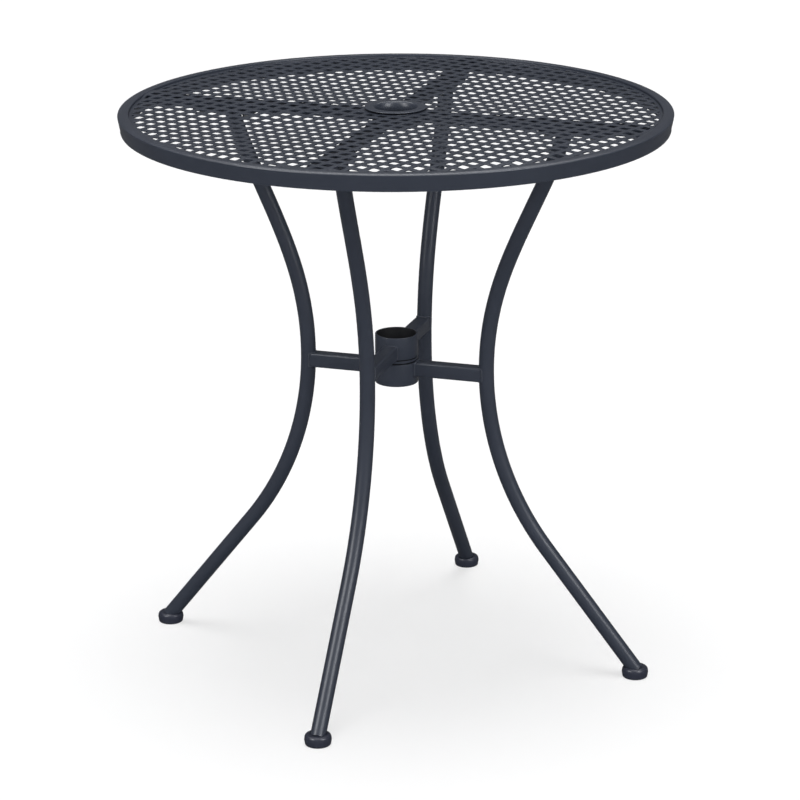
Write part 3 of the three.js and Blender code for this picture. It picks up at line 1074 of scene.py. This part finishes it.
def make_welds():
    start_fresh()
    bpy.ops.mesh.primitive_uv_sphere_add(segments=BEAD_SIDES, ring_count=BEAD_RINGS,
                                         radius=BEAD_SIZE)
    drop = newest("drop_blank")
    drop.scale = (1, 1, BEAD_FLATNESS)
    settle(drop)
    bpy.ops.object.shade_smooth()
    arm = bar_outline(ARM_WIDTH, arm_low.z, arm_high.z, False)
    for side, turn in SIDES.items():
        low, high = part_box(f"stretcher_{side}")
        bar = bar_outline(STRETCHER - OUTLINE_INSET, low.z, high.z, True)
        rows = {
            "collar": on_tube(COLLAR_RADIUS + TUBE_BEAD_LIFT, bar),
            "leg": on_leg(bar),
            "sleeve": on_tube(SLEEVE_RADIUS + TUBE_BEAD_LIFT, arm),
            "rim": on_tube(RIM_INNER_RADIUS - RIM_BEAD_LIFT, arm),
            "plate": round_leg_top(),
        }
        for place, points in rows.items():
            weld = settle(joined(f"weld_{place}_{side}", bead_row(points, drop)))
            moved(weld, Matrix.Rotation(radians(turn), 4, "Z"))
            hand_in(weld, bead, "powder_coat")
    bpy.data.objects.remove(drop)


# Stage: floor, light and camera. Lamps stand by their azimuth round from the camera's side, to
# its right, and their elevation, both in degrees.

VIEW_HEADING = radians(17.7)
FLOOR_RADIUS = 40
FLOOR_SIDES = 96
FLOOR_SEEN = (0.97, 0.97, 0.97, 1)         # its colour to the camera
FLOOR_BOUNCE = (0.50, 0.50, 0.50, 1)       # for the light that it throws back
FLOOR_IN_SHEEN = (0.13, 0.13, 0.13, 1)     # in the coat's sheen
FLOOR_LIFT = 0.69             # share of its seen brightness that shadow doesn't touch
UP = Vector((0, 0, 1))
OVERHEAD = 1.35
FLOOR_LIGHT = 1.45            # a second lamp overhead that lights only the floor
OVERHEAD_ANGLE = 30
FILL_ANGLE = 50
FILLS = {                     # azimuth, elevation, strength
    "fill_left": (-52, 22, 1.25),
    "fill_right": (50, 20, 1.3),
    "fill_front": (4, 20, 1.1),
}
SOFTBOXES = {                 # azimuth, elevation, width, height, radiance
    "softbox_left": (-56, 42, 1.1, 2.4, 15.5),
    "softbox_right": (48, 39, 1.1, 2.4, 15.5),
    "softbox_back": (184, 60, 3.0, 0.7, 9),
}
SOFTBOX_DISTANCE = 3.2
SOFTBOX_AIM = Vector((0, 0, 0.4))
WORLD_STOPS = [               # by how far up the direction points: 0 is level, 1 straight up
    (0.0, (0.28, 0.28, 0.29)),
    (0.1, (0.22, 0.22, 0.23)),
    (0.2, (0.07, 0.072, 0.078)),
    (0.54, (0.09, 0.092, 0.098)),
    (1.0, (0.62, 0.62, 0.64)),
]


def make_floor():
    start_fresh()
    bpy.ops.mesh.primitive_circle_add(vertices=FLOOR_SIDES, radius=FLOOR_RADIUS,
                                      fill_type="NGON", location=(0, 0, 0))
    floor = settle(newest("floor"))
    material = bpy.data.materials.new("pale_floor")
    material.use_nodes = True
    tree = Tree(material.node_tree)
    path = material.node_tree.nodes.new("ShaderNodeLightPath")
    by_camera = Wire(tree, path.outputs["Is Camera Ray"])
    in_sheen = Wire(tree, path.outputs["Is Glossy Ray"])
    seen = by_camera.math("MAXIMUM", Wire(tree, path.outputs["Is Transmission Ray"]))
    unseen_grey = tree.mix(in_sheen, FLOOR_BOUNCE, FLOOR_IN_SHEEN)
    matte = tree.node("ShaderNodeBsdfDiffuse", tree.mix(by_camera, unseen_grey, FLOOR_SEEN))
    white = tree.node("ShaderNodeEmission", (1, 1, 1, 1), 1.0)
    blend = tree.node("ShaderNodeMixShader", seen * FLOOR_LIFT, matte, white)
    end = material.node_tree.nodes.new("ShaderNodeOutputMaterial")
    material.node_tree.links.new(blend.socket, end.inputs["Surface"])
    floor.data.materials.append(material)
    return floor


def direction(azimuth, elevation):
    turn = VIEW_HEADING + radians(azimuth - 90)
    level = cos(radians(elevation))
    return Vector((cos(turn) * level, sin(turn) * level, sin(radians(elevation))))


def put_up(name, lamp, heading):
    """Stands a lamp in the scene, shining from its heading."""
    stand = bpy.data.objects.new(name, lamp)
    bpy.context.scene.collection.objects.link(stand)
    stand.rotation_euler = heading.to_track_quat("Z", "Y").to_euler()
    return stand


def sun(name, heading, strength, angle):
    lamp = bpy.data.lights.new(name, "SUN")
    lamp.energy = strength
    lamp.angle = radians(angle)
    return put_up(name, lamp, heading)


def softbox(name, azimuth, elevation, width, height, radiance):
    """A lamp that shows in the coat's sheen only."""
    lamp = bpy.data.lights.new(name, "AREA")
    lamp.shape = "RECTANGLE"
    lamp.size = width
    lamp.size_y = height
    lamp.energy = radiance * pi * width * height
    heading = direction(azimuth, elevation)
    stand = put_up(name, lamp, heading)
    stand.location = SOFTBOX_AIM + heading * SOFTBOX_DISTANCE
    stand.visible_camera = False
    stand.visible_diffuse = False


def linked_to(lamp, floor):
    """Links a lamp to a collection that holds only the floor."""
    lit = bpy.data.collections.new(lamp.name)
    lit.objects.link(floor)
    lamp.light_linking.receiver_collection = lit
    return lit


def make_world():
    world = bpy.data.worlds.new("studio")
    bpy.context.scene.world = world
    world.use_nodes = True
    tree = Tree(world.node_tree)
    height = tree.part_of(tree.node("ShaderNodeTexCoord", output=0), 2)
    sky = tree.node("ShaderNodeBackground",
                    tree.node("ShaderNodeValToRGB", height, stops=WORLD_STOPS), 1.0)
    end = world.node_tree.nodes.new("ShaderNodeOutputWorld")
    world.node_tree.links.new(sky.socket, end.inputs["Surface"])


def make_light(floor):
    sun("overhead", UP, OVERHEAD, OVERHEAD_ANGLE)
    linked_to(sun("floor_light", UP, FLOOR_LIGHT, OVERHEAD_ANGLE), floor)
    for name, (azimuth, elevation, strength) in FILLS.items():
        fill = sun(name, direction(azimuth, elevation), strength, FILL_ANGLE)
        fill.visible_glossy = False
        kept_dark = linked_to(fill, floor)
        kept_dark.collection_objects[0].light_linking.link_state = "EXCLUDE"
    for name, settings in SOFTBOXES.items():
        softbox(name, *settings)
    make_world()


CAMERA_PLACE = Vector((1176.5, -3672.5, 1602.4)) * MM
CAMERA_PITCH = radians(17.96)
CAMERA_ROLL = radians(-0.18)
CAMERA_LENS = 138.24          # in millimetres, as the sensor's width
CAMERA_SENSOR = 36
CAMERA_REACH = 200


def make_camera():
    lens = bpy.data.cameras.new("camera")
    lens.lens = CAMERA_LENS
    lens.sensor_width = CAMERA_SENSOR
    lens.clip_end = CAMERA_REACH
    camera = bpy.data.objects.new("camera", lens)
    bpy.context.scene.collection.objects.link(camera)
    aim = Matrix.Rotation(VIEW_HEADING, 4, "Z") @ Matrix.Rotation(pi / 2 - CAMERA_PITCH, 4, "X")
    roll = Matrix.Rotation(CAMERA_ROLL, 4, "Z")
    camera.matrix_world = Matrix.Translation(CAMERA_PLACE) @ aim @ roll
    bpy.context.scene.camera = camera


make_camera()
make_light(make_floor())
make_rim()
make_net()
make_flange()
make_hub()
make_arms()
make_stretchers()
make_legs()
make_plates()
make_feet()
make_fixings()
make_welds()

for name, node in frame["nodes"].items():
    if name.startswith("nut_"):
        node.material_slots[0].material = zinc

bpy.context.scene.view_settings.view_transform = "Standard"
